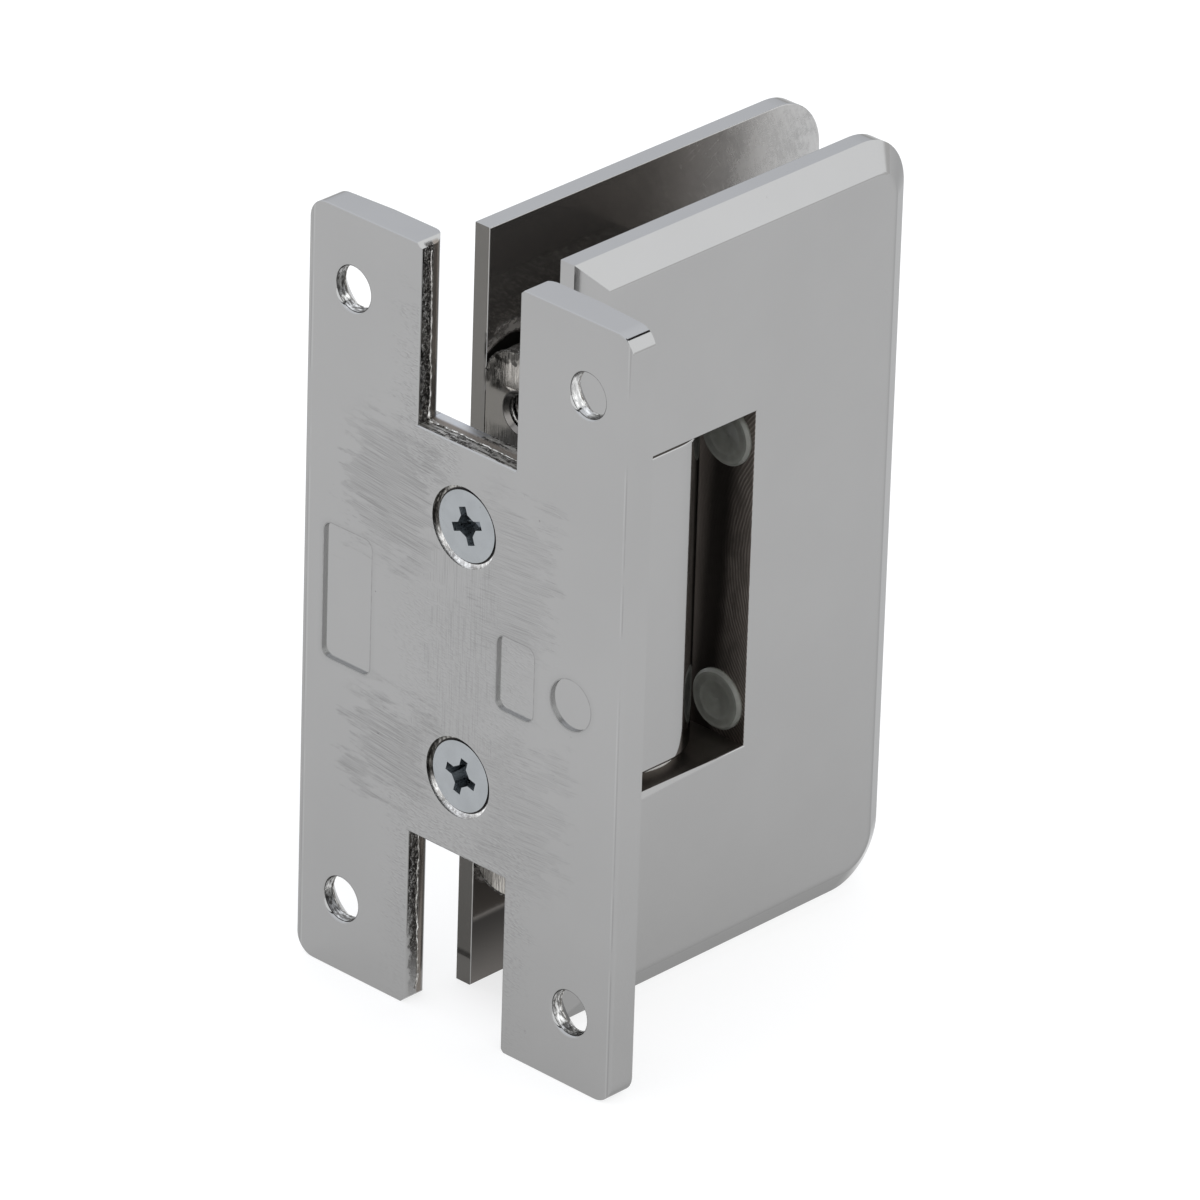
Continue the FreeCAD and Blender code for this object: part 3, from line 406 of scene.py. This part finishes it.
def clamp_look(name, inner_sign):
    """Polished clamp half: hazy inside toward its far end, painted darker toward its near and lower ends as
    reflections, a cast boss with painted shade on it and painted reflections of it, a notch left as machined
    with painted shade and highlights, and on the rear half painted shade at its foot.
    """
    s = Shader(name)
    level = s.size(s.z)
    inner = s.times(s.faces("x", -inner_sign), s.ramp(s.size(s.x), 5.3, 5.1))
    far = s.ramp(s.plus(s.y, s.times(s.z, -0.1)), 27.0, 56.0)
    # painted reflection of the shaded floor: the inner face painted darker toward its lower end
    low = s.times(inner, s.ramp(s.z, -36.4, -37.6), s.less(far), s.ramp(s.z, -37.0, -47.0, 0.84, 0.35))
    cloud = s.grain((5.0, 5.0, 3.5), detail=6.0, roughness=0.68)
    haze = s.grain((0.6, 0.45, 1.6), (0.35, 0.0, 0.0), detail=5.0, roughness=0.7)
    rising = s.ramp(s.grain((9.0, 6.0, 0.07), (0.5, 0.0, 0.0), detail=2.0), 0.62, 0.72)
    falling = s.ramp(s.grain((9.0, 4.0, 0.07), (-0.9, 0.0, 0.0), detail=2.0, shift=(0, 4, 2)), 0.64, 0.74)
    hair = s.times(s.most(rising, falling), inner, s.window(s.y, 20.0, 42.0, 8.0),
                   s.ramp(haze, 0.45, 0.60), 0.5)
    milky = s.times(inner, far, s.ramp(s.plus(cloud, s.times(haze, 0.5)), 0.60, 0.90))

    boss_side = s.times(s.faces("y", -1), s.ramp(s.y, BOSS_NEAR + 0.3, BOSS_NEAR + 0.1),
                        s.ramp(s.size(s.x), HALF_GAP + 0.5, HALF_GAP), s.ramp(level, 33.0, 32.5))
    in_gap = s.ramp(s.size(s.x), HALF_GAP, HALF_GAP - 0.1)
    boss_top = s.times(in_gap, s.faces("z", 0, 0.3), s.ramp(level, 27.0, 27.5))
    boss_cast = s.most(boss_top, s.times(in_gap, s.ramp(s.y, 36.5, 38.0)))
    streaks = s.times(s.ramp(s.grain((0.14, 3.0, 3.2), detail=3.0, roughness=0.65), 0.42, 0.66), boss_side,
                      s.most(s.ramp(level, 27.0, 28.2), s.ramp(level, 23.4, 22.4)))
    grit = s.ramp(s.grain((0.22, 0.22, 0.22), detail=4.0, roughness=0.7), 0.45, 0.70)
    lean = s.times(s.ramp(level, 27.4, 27.8), boss_side, s.most(s.plus(s.x, 2.2), 0.0), -0.10)
    mouth_reach = s.reach(s.x, s.plus(level, -SET_SCREW_LEVEL))
    mouth = s.times(s.ramp(mouth_reach, SET_THREAD_RADIUS + 0.60, SET_THREAD_RADIUS + 0.52),
                    s.ramp(s.y, BOSS_NEAR + 0.6, BOSS_NEAR + 0.5))

    before_arch = s.most(s.plus(12.0, s.times(s.y, -1.0)), 0.0)
    arch = s.plus(level, s.times(s.math("POWER", before_arch, 2.0), 0.09),
                  s.ramp(s.grain((2.0, 2.0, 2.0), detail=2.0), 0.3, 0.7, -0.2, 0.2))
    near_boss = s.times(inner, s.ramp(s.y, 17.0, 12.5))
    # painted reflection of the boss on the inner face: a dark curve along its outline and a pale cloudy curve
    # above it
    boss_dark_reflection = s.times(near_boss, s.ramp(arch, 31.9, 31.4))
    boss_light_reflection = s.times(near_boss, s.window(arch, 32.2, 33.2, 0.7), s.ramp(cloud, 0.30, 0.60))
    shade = s.ramp(s.grain((1.3, 1.3, 1.6), (0.0, 0.6, 0.0), detail=2.0, roughness=0.6), 0.44, 0.54)
    # painted shade on the upper boss face: darker patches toward its left side and toward its top, standing
    # in for faceted cast surfaces
    upper_boss = s.times(boss_side, s.ramp(s.z, -1.0, 1.0))
    facet_shade = s.times(upper_boss, s.ramp(s.x, -2.6, -3.2), s.ramp(level, 27.0, 27.6),
                     s.plus(0.15, s.times(shade, 0.5)))
    crown_shade = s.times(upper_boss, s.ramp(s.plus(level, s.times(shade, 0.5)), 30.7, 31.0),
                    s.plus(0.30, s.times(shade, 0.45)))

    wall = s.times(s.faces("y", -1), s.window(s.y, NOTCH_FAR - 0.2, NOTCH_FAR + 0.6, 0.1),
                   s.ramp(level, NOTCH_END + 0.3, NOTCH_END))
    ends = s.times(s.faces("z", 0), s.window(level, NOTCH_END - 0.1, NOTCH_END + 0.1, 0.1),
                   s.ramp(s.y, NOTCH_FAR + 0.3, NOTCH_FAR))
    notch = s.most(wall, ends)
    milled = s.node("ShaderNodeVectorMath", {0: s.place, 1: (27.0, NOTCH_FAR, 2.0)}, operation="DISTANCE")
    wander = s.times(s.grain((3.0, 3.0, 3.0), detail=1.0), 0.5)
    arcs = s.math("SINE", s.times(s.plus(milled.outputs["Value"], wander), 2.0 * math.pi / MILLING_PITCH))
    slant = s.plus(s.x, s.times(s.z, -0.06))
    # milling arcs with painted highlights on them, fading toward the painted shadow
    arc_marks_and_glints = s.times(s.ramp(arcs, -0.2, 0.9), wall, s.ramp(s.grain((1.5, 1.5, 2.5)), 0.3, 0.6, 0.35, 1.0),
                        s.ramp(slant, 4.6, 6.6, 0.12, 1.0))
    # painted shadow across the far wall of the notch
    shadow = s.times(wall, s.window(slant, 3.4, 4.8, 1.6))

    # painted shade: the notch walls painted dark, varying at random
    colour = s.blend(notch, NICKEL, s.blend(s.grain((2.0, 2.0, 9.0)), NOTCH_SHADED_DEEP, NOTCH_SHADED_PALE))
    colour = s.blend(boss_side, colour, BOSS_SIDE)
    colour = s.blend(boss_cast, colour, s.blend(grit, CAST_DARK, CAST_LIGHT))
    # painted shade at the mouth of the set screw hole
    colour = s.blend(mouth, colour, MOUTH_SHADE)
    # painted reflection: the inner face painted darker and warmer toward its near end, as a dark reflection
    colour = s.blend(s.times(inner, s.less(far), 0.8), colour, INNER_DARK_REFLECTION)
    # painted pale reflection of the boss on the inner face
    colour = s.blend(s.times(boss_light_reflection, 0.9), colour, BOSS_REFLECTION_PALE)
    foot_tone = 1.0
    if inner_sign < 0:
        near_end = s.times(s.faces("y", -1), s.ramp(s.y, 8.3, 8.1), s.less(boss_side))
        colour = s.blend(near_end, colour, NEAR_END)
        # painted shade: the near end face painted darker toward its foot
        foot = s.times(near_end, s.ramp(s.z, -22.0, -30.0), s.ramp(s.z, -40.9, -41.4, 0.28, 0.70))
        foot_tone = s.less(foot)
    # the tone below holds the painted reflections, painted shade and painted highlights marked above
    tone = s.times(polish_clouds_and_low_shade(s), s.plus(1.0, s.times(milky, 0.40)), s.plus(1.0, s.times(hair, 0.5)),
                   s.less(s.times(inner, s.less(far), 0.22)), s.less(low), foot_tone,
                   s.less(s.times(boss_dark_reflection, 0.9)), s.less(facet_shade), s.less(crown_shade),
                   s.plus(1.0, s.times(arc_marks_and_glints, 0.7)), s.less(s.times(streaks, 0.30)),
                   s.less(s.times(shadow, 0.55)),
                   s.less(s.times(s.pits(2.6, 0.3, 0.03), 0.4)))
    height = s.plus(plate_waves(s), s.times(arc_marks_and_glints, 0.012), s.times(hair, -0.004),
                    s.times(grit, boss_cast, 0.06), s.times(streaks, 0.008), lean)
    rough = s.plus(0.07, s.times(milky, 0.15), s.times(inner, s.ramp(s.y, 22.0, 44.0), 0.15),
                   s.times(hair, 0.25), s.times(notch, 0.28), s.times(mouth, 0.2),
                   s.times(boss_side, 0.05), s.times(boss_cast, 0.3), s.times(s.most(boss_light_reflection, boss_dark_reflection), 0.35))
    metal = s.less(s.most(s.times(inner, 0.10), s.times(boss_light_reflection, 0.8)))
    return s.principled(Base_Color=s.toned(colour, tone), Metallic=metal, Roughness=rough,
                        Specular_Tint=EDGE_SHINE, Normal=s.relief(height))


def raw_cast_look():
    """Raw cast skin: dark grit with bright worn spots."""
    s = Shader("raw_cast_look")
    grit = s.ramp(s.grain((0.20, 0.20, 0.20), detail=4.0, roughness=0.7), 0.42, 0.66)
    worn = s.ramp(s.grain((0.8, 0.8, 0.8), detail=3.0), 0.45, 0.6)
    colour = s.blend(s.times(grit, worn), SKIN_DARK, SKIN_WORN)
    return s.principled(Base_Color=colour, Metallic=1.0, Roughness=s.ramp(grit, 0.0, 1.0, 0.46, 0.28),
                        Normal=s.relief(s.times(grit, 0.05)))


def flash_look():
    """Thin casting flash, worn bright here and there along its crest."""
    s = Shader("flash_look")
    worn = s.ramp(s.grain((0.5, 0.5, 0.9), detail=4.0, roughness=0.75), 0.40, 0.62)
    colour = s.blend(worn, FLASH_DARK, FLASH_WORN)
    return s.principled(Base_Color=colour, Metallic=1.0, Roughness=0.24,
                        Normal=s.relief(s.times(worn, 0.02)))


def steel_look():
    """Plain bright steel with faint turning rings and a few scuffs."""
    s = Shader("screw_steel_look")
    cloud = s.ramp(s.grain((2.2, 2.2, 2.2), detail=4.0), 0.3, 0.7, 0.95, 1.05)
    scuffs = s.times(s.pits(1.6, 0.35, 0.06), s.ramp(s.grain((0.4, 0.4, 0.4)), 0.4, 0.6))
    lines = s.ramp(s.grain((4.0, 1.0, 0.05), (0.0, 0.7, 0.0), detail=2.0), 0.60, 0.72)
    tone = s.times(cloud, s.less(s.times(scuffs, 0.5)), s.less(s.times(lines, 0.06)))
    return s.principled(Base_Color=s.toned(STEEL, tone), Metallic=1.0,
                        Roughness=s.ramp(cloud, 0.95, 1.05, 0.12, 0.2),
                        Normal=s.relief(s.times(lines, -0.003)))


def brass_look():
    """Turned brass of the pressure pad."""
    s = Shader("bearing_brass_look")
    turned = s.grain((0.2, 3.0, 3.0), detail=2.0)
    return s.principled(Base_Color=s.toned(BRASS, s.ramp(turned, 0.3, 0.7, 0.85, 1.05)), Metallic=1.0,
                        Roughness=0.28, Normal=s.relief(s.times(turned, 0.01)))


def washer_look():
    """Pale plastic of the thrust washers."""
    s = Shader("washer_plastic_look")
    fine = s.grain((0.5, 0.5, 0.5), detail=3.0)
    return s.principled(Base_Color=s.toned(WASHER, s.ramp(fine, 0.3, 0.7, 0.94, 1.03)), Roughness=0.42,
                        Normal=s.relief(s.times(fine, 0.01)))


def bumper_look():
    """Soft, slightly see-through buttons with a paler rim."""
    s = Shader("bumper_rubber_look")
    fine = s.grain((0.9, 0.9, 0.9), detail=3.0)
    reach = s.reach(s.plus(s.size(s.x), -BUMPER_ACROSS), s.plus(s.size(s.z), -BUMPER_LEVEL))
    rim = s.most(s.ramp(reach, BUMPER_RADIUS - 0.25, BUMPER_RADIUS),
                 s.times(s.window(reach, 2.0, 2.2, 0.2), 0.35))
    colour = s.toned(s.blend(rim, BUMPER, BUMPER_RIM), s.ramp(fine, 0.3, 0.7, 0.90, 1.08))
    return s.principled(Base_Color=colour, Roughness=0.36, Subsurface_Weight=0.35,
                        Subsurface_Radius=(0.0012, 0.0013, 0.0011), Transmission_Weight=0.15, IOR=1.42,
                        Normal=s.relief(s.times(fine, 0.006)))


def assign(material, *names):
    """The material on every slot of the named pieces of the model."""
    for name in names:
        for index in range(len(nodes[name].data.materials)):
            nodes[name].data.materials[index] = material


def add_piece(name, mesh, material, body):
    """A new piece in the scene that moves with a body of the model."""
    mesh.materials.append(material)
    mesh.polygons.foreach_set("use_smooth", [True] * len(mesh.polygons))
    piece = bpy.data.objects.new(name, mesh)
    bpy.context.scene.collection.objects.link(piece)
    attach(piece, body)
    return piece


def tube(name, points, radii, sides=6, closed=False):
    """A thin tube through points in millimetres, with its own radius at each point."""
    count = len(points)
    vertices, quads = [], []
    for index, (point, radius) in enumerate(zip(points, radii)):
        before = points[index - 1] if closed or index else point
        after = points[(index + 1) % count] if closed or index + 1 < count else point
        along = (after - before).normalized()
        first = along.cross(Vector((0.3, 0.9, 0.2))).normalized()
        second = along.cross(first)
        for side in range(sides):
            turn = 2.0 * math.pi * side / sides
            vertices.append((point + (first * math.cos(turn) + second * math.sin(turn)) * radius) * MM)
    for index in range(count if closed else count - 1):
        for side in range(sides):
            following, beside = (index + 1) % count, (side + 1) % sides
            quads.append((index * sides + side, index * sides + beside,
                          following * sides + beside, following * sides + side))
    if not closed:
        quads.append(tuple(range(sides - 1, -1, -1)))
        quads.append(tuple((count - 1) * sides + side for side in range(sides)))
    mesh = bpy.data.meshes.new(name)
    mesh.from_pydata(vertices, [], quads)
    return mesh


def wobble(point, size, seed):
    """Smooth random value between about -1 and 1 for a point in millimetres."""
    return noise.noise(Vector(point) / size + Vector((seed, 2.0 * seed, 3.0 * seed)))


def gap_flash(material, level):
    """Wavy flash round one gap between the legs, with a lump in each inner corner."""
    side, floor, end = LEG_GAP_SIDE, level * CROSSBAR_END, level * (LEG_END - 1.2)
    route = [Vector((-side, FLASH_DEPTH, end)), Vector((-side, FLASH_DEPTH, floor)),
             Vector((side, FLASH_DEPTH, floor)), Vector((side, FLASH_DEPTH, end))]
    points, radii = [], []
    for start, stop in zip(route, route[1:]):
        steps = round((stop - start).length / 0.22)
        for step in range(steps):
            here = start.lerp(stop, step / steps)
            sway = 0.34 * wobble(here, 2.6, level + 4.0) + 0.14 * wobble(here, 0.6, level + 9.0)
            corner = max(0.0, 1.0 - min((here - route[1]).length, (here - route[2]).length) / 1.1)
            points.append(here + Vector((0.0, sway, 0.0)))
            radii.append(0.11 + 0.07 * wobble(here, 0.5, 17.0 + level) + 0.30 * corner)
    name = "gap_flash_upper" if level > 0 else "gap_flash_lower"
    add_piece(name, tube(name, points, radii), material, "wall_side")


def hole_flash(material):
    """A thin ring of flash half-way down each fixing hole."""
    for number, (across, up) in enumerate(FIXINGS, start=1):
        points, radii = [], []
        for step in range(RING_STEPS):
            turn = 2.0 * math.pi * step / RING_STEPS
            spoke = Vector((math.cos(turn), 0.0, math.sin(turn)))
            here = Vector((across, HOLE_FLASH_DEPTH, up)) + spoke * FIXING_RADIUS
            points.append(here + Vector((0.0, 0.08 * wobble(here, 1.2, 3.0), 0.0)))
            radii.append(0.09 + 0.04 * wobble(here, 0.6, 8.0))
        name = f"hole_flash_{number}"
        add_piece(name, tube(name, points, radii, closed=True), material, "wall_side")


def set_screw_threads(material):
    """The thread that shows in the open mouth of each set screw hole."""
    turns = (SET_THREAD_TO - SET_THREAD_FROM) / SET_THREAD_PITCH
    steps = round(turns * TURN_STEPS)
    for name, level in (("thread_upper", 1), ("thread_lower", -1)):
        points = []
        for step in range(steps + 1):
            turn = 2.0 * math.pi * step / TURN_STEPS
            rise = SET_THREAD_FROM + SET_THREAD_PITCH * step / TURN_STEPS
            points.append(Vector((SET_THREAD_RADIUS * math.cos(turn), rise,
                                  level * SET_SCREW_LEVEL + SET_THREAD_RADIUS * math.sin(turn))))
        mesh = tube(name, points, [SET_THREAD_SIZE] * len(points), sides=4)
        add_piece(name, mesh, material, "door_side")


def boss_skin(material):
    """Rough cast skin over the ends of the boss, with a ragged rim toward the wall plate."""
    rows, columns = 96, 56
    flat = HALF_GAP + HALF_GAP - BOSS_ROUND
    bend = BOSS_BEND * BOSS_ROUND
    sunk = -0.25
    for name, level in (("boss_skin_upper", 1), ("boss_skin_lower", -1)):
        vertices, quads = [], []
        for row in range(rows + 1):
            share = (row - 1) / (rows - 2)
            buried = row in (0, rows)
            depth = BOSS_NEAR + (BOSS_FAR - BOSS_NEAR) * min(max(share, 0.0), 1.0) ** 1.6
            for column in range(columns + 1):
                reach = (flat + bend) * min(max((column - 1) / (columns - 2), 0.0), 1.0)
                turn = max(0.0, reach - flat) / BOSS_ROUND
                out = Vector((-math.sin(turn), 0.0, level * math.cos(turn)))
                middle = Vector((BOSS_ROUND - HALF_GAP, depth, level * (BOSS_END - BOSS_ROUND)))
                here = middle + out * BOSS_ROUND
                if turn == 0.0:
                    here.x = HALF_GAP - reach
                rim = math.exp(-(depth - BOSS_NEAR) / 0.5)
                lift = 0.07 + 0.09 * wobble(here, 0.8, 5.0) + 0.05 * wobble(here, 0.25, 6.0)
                lift += rim * (0.10 + 0.14 * wobble(here, 0.5, 7.0))
                if buried or column in (0, columns):
                    lift = sunk
                push = -0.10 * rim * (1.0 + wobble(here, 0.7, 11.0)) if not buried else 0.15
                vertices.append((here + out * max(lift, sunk) + Vector((0.0, push, 0.0))) * MM)
        width = columns + 1
        for row in range(rows):
            for column in range(columns):
                corner = row * width + column
                quads.append((corner, corner + 1, corner + width + 1, corner + width))
        mesh = bpy.data.meshes.new(name)
        mesh.from_pydata(vertices, [], quads)
        add_piece(name, mesh, material, "door_side")


def make_studio():
    """White walls up to the horizon and below it; over them a ceiling, a dark gap and one softbox."""
    world = bpy.data.worlds.new("Studio")
    bpy.context.scene.world = world
    studio = Nodes(world)
    way = studio.node("ShaderNodeTexCoord").outputs["Generated"]
    across, _, up = studio.node("ShaderNodeSeparateXYZ", {0: way}).outputs
    turn = studio.math("ARCTAN2", across, up)
    share = studio.node("ShaderNodeMapRange", {"Value": turn, "From Min": -math.pi, "From Max": math.pi})
    ring = studio.node("ShaderNodeValToRGB", {0: share.outputs[0]})
    stops = [
        (-180.0, WALL_LIGHT), (WALL_TO, WALL_LIGHT), (CEILING_FROM, CEILING_LIGHT),
        (GAP_FROM - 1.0, CEILING_LIGHT), (GAP_FROM, GAP_LIGHT), (GAP_TO, GAP_LIGHT),
        (GAP_TO + 1.0, SOFTBOX_LIGHT), (SOFTBOX_TO, SOFTBOX_LIGHT),
        (WALL_FROM, WALL_LIGHT), (180.0, WALL_LIGHT),
    ]
    elements = ring.color_ramp.elements
    while len(elements) < len(stops):
        elements.new(0.5)
    for element, (degrees, light) in zip(elements, stops):
        element.position = (degrees + 180.0) / 360.0
        element.color = (*light, 1.0)
    low = studio.node("ShaderNodeMapRange", {"Value": up, "From Min": HORIZON_FADE,
                                             "From Max": HORIZON_WHITE})
    light = studio.blend(low.outputs[0], ring.outputs[0], WALL_LIGHT)
    sky = studio.node("ShaderNodeBackground", {"Color": light})
    studio.node("ShaderNodeOutputWorld", {"Surface": sky.outputs[0]})


def make_floor():
    """Pale floor that the hinge stands on, white to the camera and in the metal, keeping its shadow."""
    mesh = bpy.data.meshes.new("Floor")
    reach, level = 2.0, cad_box[0][2]
    mesh.from_pydata([(-reach, -reach, level), (reach, -reach, level), (reach, reach, level),
                      (-reach, reach, level)], [], [(0, 1, 2, 3)])
    floor = bpy.data.objects.new("Floor", mesh)
    bpy.context.scene.collection.objects.link(floor)
    material = bpy.data.materials.new("FloorPaper")
    paper = Nodes(material)
    matte = paper.node("ShaderNodeBsdfDiffuse", {"Color": (FLOOR_ALBEDO, FLOOR_ALBEDO, FLOOR_ALBEDO, 1.0)})
    rays = paper.node("ShaderNodeLightPath").outputs
    seen = paper.most(rays["Is Camera Ray"], rays["Is Glossy Ray"], rays["Is Transmission Ray"])
    lift = paper.node("ShaderNodeEmission", {"Strength": paper.times(seen, FLOOR_BOOST)})
    both = paper.node("ShaderNodeAddShader", {0: matte.outputs[0], 1: lift.outputs[0]})
    paper.node("ShaderNodeOutputMaterial", {"Surface": both.outputs[0]})
    mesh.materials.append(material)


def make_camera():
    """The long lens that the hinge was photographed with, above and to the right of its back."""
    lens = bpy.data.cameras.new("Camera")
    lens.sensor_width = SENSOR
    lens.lens = CAMERA_LENS
    lens.clip_start = 0.05
    lens.clip_end = 10.0
    camera = bpy.data.objects.new("Camera", lens)
    look = Euler((math.pi / 2 - CAMERA_ELEVATION, 0.0, CAMERA_AZIMUTH)).to_matrix().to_4x4()
    roll = Matrix.Rotation(CAMERA_ROLL, 4, "Z")
    camera.matrix_world = Matrix.Translation(CAMERA_PLACE) @ look @ roll
    bpy.context.scene.collection.objects.link(camera)
    bpy.context.scene.camera = camera


assign(wall_plate_look(), "wall_plate")
assign(block_look(), "pivot_block")
assign(clamp_look("front_clamp_look", 1), "front_clamp")
assign(clamp_look("rear_clamp_look", -1), "rear_clamp")
assign(steel_look(), *[name for name in nodes if "screw" in name or "spring" in name or name == "pivot_pin"])
assign(brass_look(), "pressure_pad")
assign(washer_look(), "thrust_washer_upper", "thrust_washer_lower")
assign(bumper_look(), *[name for name in nodes if name.startswith("bumper")])

flash, cast = flash_look(), raw_cast_look()
gap_flash(flash, 1)
gap_flash(flash, -1)
hole_flash(flash)
set_screw_threads(flash)
boss_skin(cast)

make_studio()
make_floor()
make_camera()
bpy.context.scene.view_settings.view_transform = "Standard"
